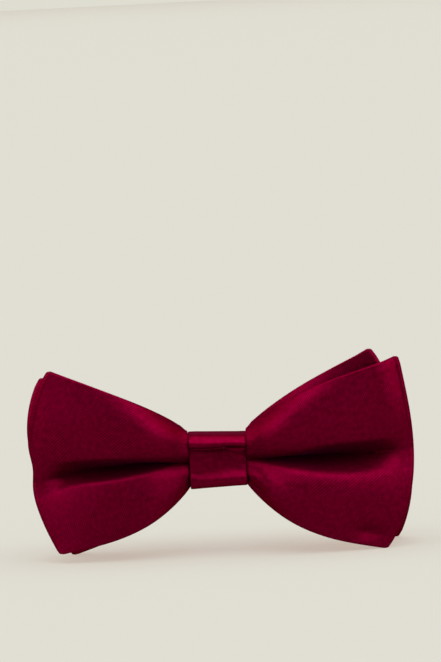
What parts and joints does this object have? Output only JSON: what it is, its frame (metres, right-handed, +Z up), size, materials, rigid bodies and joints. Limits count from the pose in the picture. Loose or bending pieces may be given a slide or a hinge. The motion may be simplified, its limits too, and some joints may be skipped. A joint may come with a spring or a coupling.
{
  "type": "bow tie",
  "caption": "Ready-tied double bow in burgundy satin, two pleated bows wrapped by a knot, on an adjustable hook-and-eye neckband folded behind them.",
  "frame": {"origin": "on the table, at the centre of the footprint of the standing bow tie with its neckband folded behind it", "axes": "+X along the bow, to the right as seen from the front; +Y from the front towards the wearer's neck; +Z up"},
  "size_m": [0.1196, 0.031, 0.0595],
  "materials": {
    "burgundy_satin": "satin weave with a fine diagonal rib and a soft sheen",
    "interlining": "matt woven interlining",
    "burgundy_thread": "twisted sewing thread",
    "nickel_wire": "nickel-plated wire, lightly brushed"
  },
  "bodies": {
    "bow": {"front_bow_satin": "burgundy_satin", "front_bow_interlining": "interlining", "back_bow_satin": "burgundy_satin", "back_bow_interlining": "interlining", "waist_binding_thread": "burgundy_thread", "knot_satin": "burgundy_satin", "knot_interlining": "interlining", "knot_closing_stitches": "burgundy_thread"},
    "neckband": {"neckband_satin": "burgundy_satin", "neckband_interlining": "interlining", "hook_bartack": "burgundy_thread"},
    "slider": {"slider_frame": "nickel_wire", "adjuster_return": "burgundy_satin", "slider_bartack": "burgundy_thread"},
    "eye_loop": {"adjuster_loop": "burgundy_satin"},
    "eye": {"eye_ring": "nickel_wire"},
    "hook": {"hook": "nickel_wire"}
  },
  "joints": [
    {"name": "band_slide", "type": "slide", "parent": "bow", "child": "neckband", "axis": [1, 0, 0], "range_m": [-0.01, 0.01]},
    {"name": "slider_slide", "type": "slide", "parent": "neckband", "child": "slider", "axis": [1, 0, 0], "range_m": [-0.006, 0.009]},
    {"name": "eye_feed", "type": "slide", "parent": "slider", "child": "eye_loop", "axis": [1, 0, 0], "range_m": [-0.0045, 0.003], "deforming": ["adjuster_return"]},
    {"name": "eye_swing", "type": "hinge", "parent": "eye_loop", "child": "eye", "pos_m": [0.009, 0.0127, 0.028], "axis": [0, 0, -1], "range_deg": [-15, 75]},
    {"name": "hook_swing", "type": "hinge", "parent": "neckband", "child": "hook", "pos_m": [-0.017, 0.0127, 0.028], "axis": [0, 0, 1], "range_deg": [-10, 75]}
  ],
  "couplings": [
    {"joint": "eye_feed", "follows": "slider_slide", "ratio": -0.5}
  ]
}
